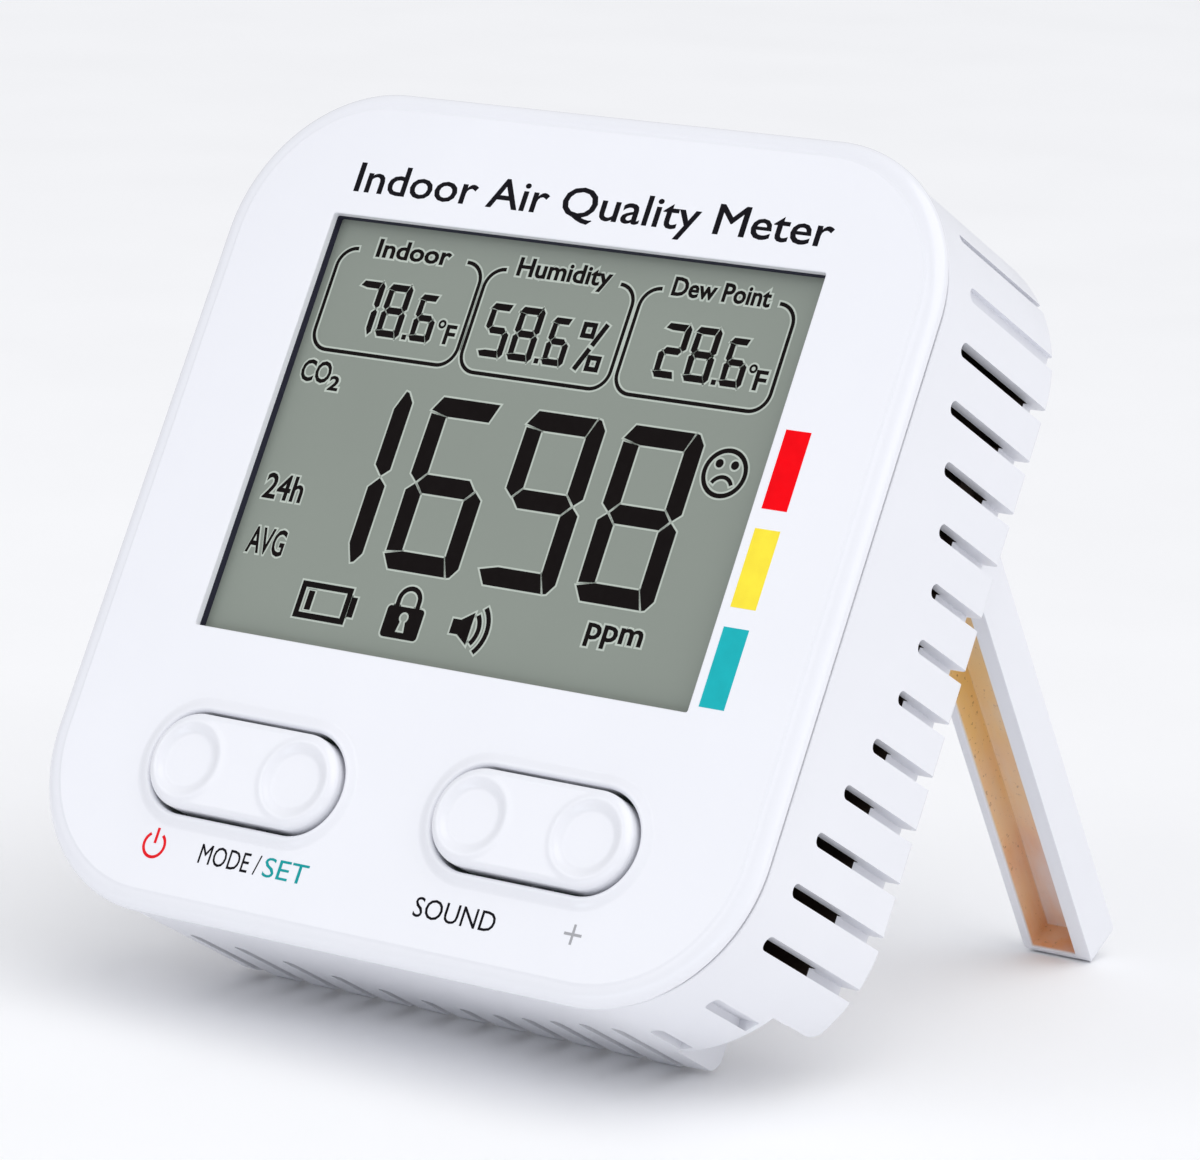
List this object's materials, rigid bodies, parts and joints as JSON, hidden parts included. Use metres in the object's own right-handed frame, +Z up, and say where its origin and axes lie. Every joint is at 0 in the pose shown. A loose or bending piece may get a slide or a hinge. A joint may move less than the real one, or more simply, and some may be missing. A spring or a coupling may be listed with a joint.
{
  "type": "carbon dioxide monitor",
  "caption": "Rounded square desktop air monitor with a segment display, rocker buttons, vented sides and flip-out legs.",
  "frame": {"origin": "on the surface it stands on, at the middle of its footprint box", "axes": "+Z up, +Y from the display side to the back, +X to the right as seen facing the display; the face leans back 29.4 degrees"},
  "size_m": [0.108, 0.1032, 0.1105],
  "materials": {
    "gloss_white": "polished moulding",
    "satin_white": "fine satin moulding",
    "display_glass": "reflective segment display",
    "black_plastic": "moulded",
    "circuit_board": "solder mask",
    "elastomer": "soft",
    "chamber_gold": "gold plated",
    "membrane": "fine mesh",
    "spring_steel": "nickel plated",
    "screw_steel": "black zinc",
    "cell_jacket": "plain coloured film",
    "lead_red": "insulated wire",
    "lead_black": "insulated wire"
  },
  "bodies": {
    "case": {"battery_1": "cell_jacket", "battery_2": "cell_jacket", "battery_3": "cell_jacket", "battery_4": "cell_jacket", "battery_lead_black": "lead_black", "battery_lead_red": "lead_red", "battery_spring_1": "spring_steel", "battery_spring_2": "spring_steel", "battery_spring_3": "spring_steel", "battery_spring_4": "spring_steel", "board_screw_1": "screw_steel", "board_screw_2": "screw_steel", "board_screw_3": "screw_steel", "board_screw_4": "screw_steel", "buzzer": "black_plastic", "case_screw_1": "screw_steel", "case_screw_2": "screw_steel", "case_screw_3": "screw_steel", "case_screw_4": "screw_steel", "co2_sensor_board": "circuit_board", "co2_sensor_chamber": "chamber_gold", "co2_sensor_filter": "membrane", "co2_sensor_header": "black_plastic", "contact_link_1_2": "spring_steel", "contact_link_2_3": "spring_steel", "contact_link_3_4": "spring_steel", "contact_negative": "spring_steel", "contact_positive": "spring_steel", "front_bezel": "gloss_white", "humidity_sensor": "membrane", "lcd_glass": "display_glass", "lcd_holder": "black_plastic", "main_board": "circuit_board", "microcontroller": "black_plastic", "rear_shell": "satin_white", "tact_switch_mute": "black_plastic", "tact_switch_power": "black_plastic", "tact_switch_set": "black_plastic", "tact_switch_up": "black_plastic", "zebra_strip": "elastomer"},
    "leg_left": {"leg_left": "satin_white"},
    "leg_right": {"leg_right": "satin_white"},
    "rocker_left": {"rocker_left": "gloss_white"},
    "rocker_right": {"rocker_right": "gloss_white"},
    "battery_cover": {"battery_cover": "satin_white"}
  },
  "joints": [
    {"name": "leg_left_fold", "type": "hinge", "parent": "case", "child": "leg_left", "pos_m": [-0.0423, 0.0108, 0.06749], "axis": [1, 0, 0], "range_deg": [-59.4, 0]},
    {"name": "leg_right_fold", "type": "hinge", "parent": "case", "child": "leg_right", "pos_m": [0.0423, 0.0108, 0.06749], "axis": [1, 0, 0], "range_deg": [-59.4, 0]},
    {"name": "rocker_left_press", "type": "hinge", "parent": "case", "child": "rocker_left", "pos_m": [-0.022, -0.03874, 0.02953], "axis": [0, 0.4911, 0.8711], "range_deg": [-2.4, 2.4], "stiffness_Nm_per_rad": 0.3},
    {"name": "rocker_right_press", "type": "hinge", "parent": "case", "child": "rocker_right", "pos_m": [0.022, -0.03874, 0.02953], "axis": [0, 0.4911, 0.8711], "range_deg": [-2.4, 2.4], "stiffness_Nm_per_rad": 0.3},
    {"name": "battery_cover_off", "type": "slide", "parent": "case", "child": "battery_cover", "axis": [0, 0.8711, -0.4911], "range_m": [0, 0.025]}
  ]
}
